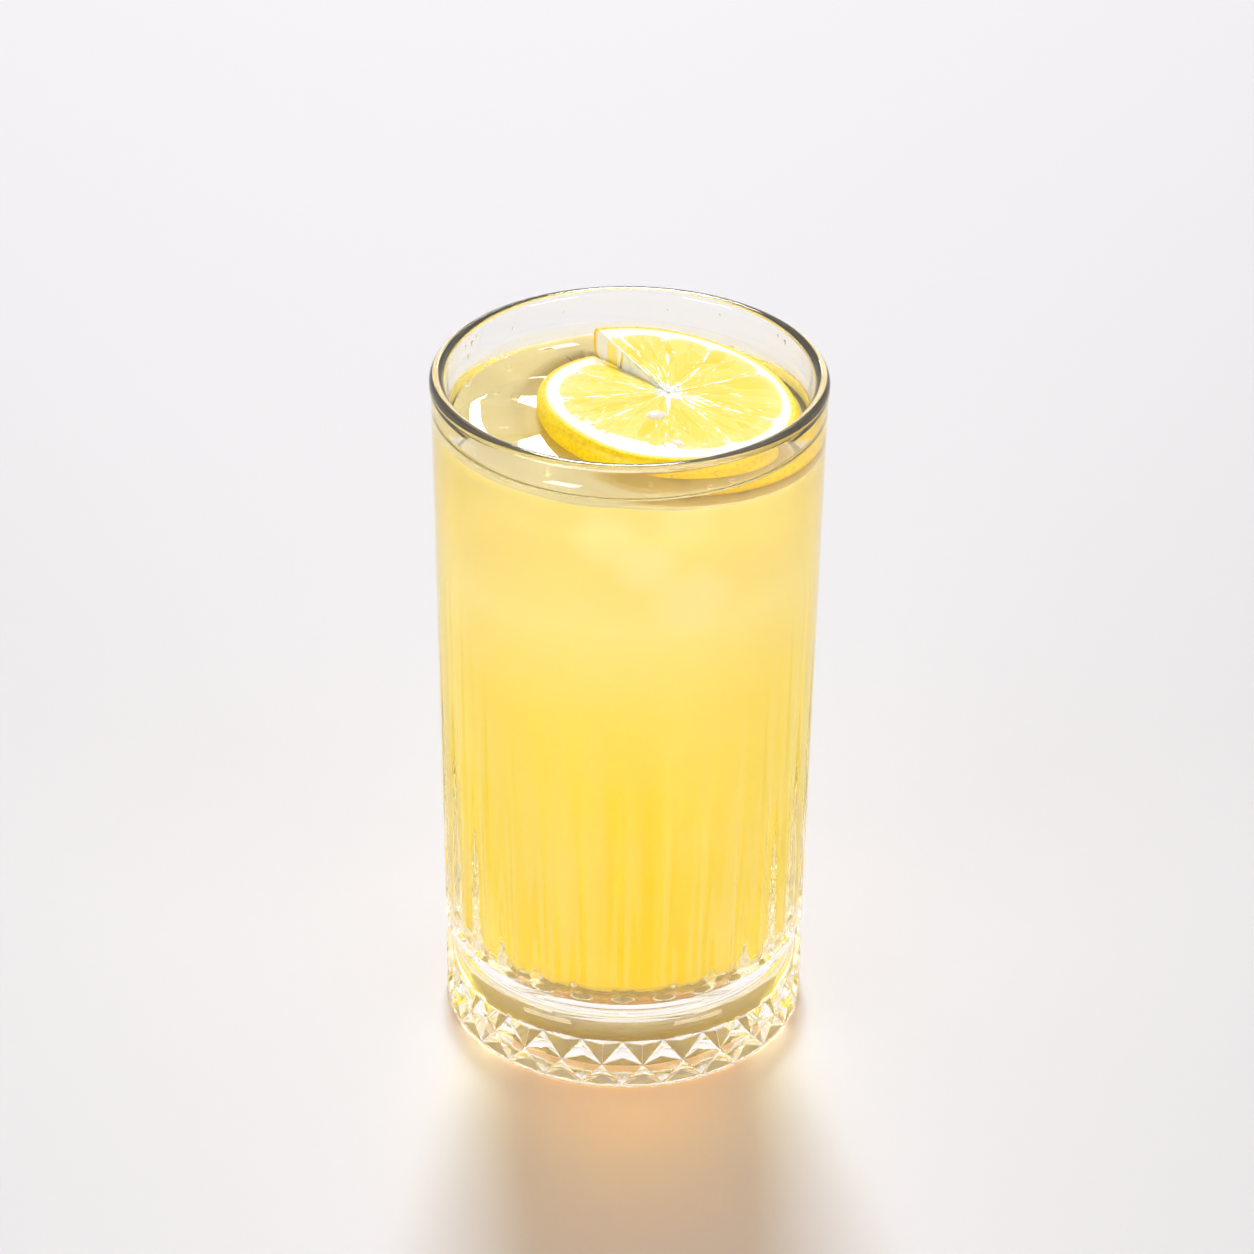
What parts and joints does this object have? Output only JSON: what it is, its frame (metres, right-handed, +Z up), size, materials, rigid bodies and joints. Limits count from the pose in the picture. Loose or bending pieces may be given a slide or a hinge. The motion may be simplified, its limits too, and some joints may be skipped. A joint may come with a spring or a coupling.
{
  "type": "glass of lemonade",
  "caption": "Tall pressed-glass tumbler of cloudy lemonade with a slit slice of lemon floating at the top.",
  "frame": {"origin": "centre of the tumbler's foot, on the surface that it stands on", "axes": "+Z up along the tumbler's axis; the side that the picture shows faces -Y, and +X is to its right"},
  "size_m": [0.079, 0.079, 0.148],
  "materials": {
    "clear_glass": "clear pressed glass, fire-polished, with sharp facets in the band",
    "cloudy_lemonade": "cloudy yellow drink, paler at the top, wet surface",
    "lemon_flesh": "wet lemon: yellow rind, white pith and translucent segments"
  },
  "bodies": {
    "root": {"glass": "clear_glass", "lemonade": "cloudy_lemonade", "lemon_slice": "lemon_flesh"}
  },
  "joints": []
}
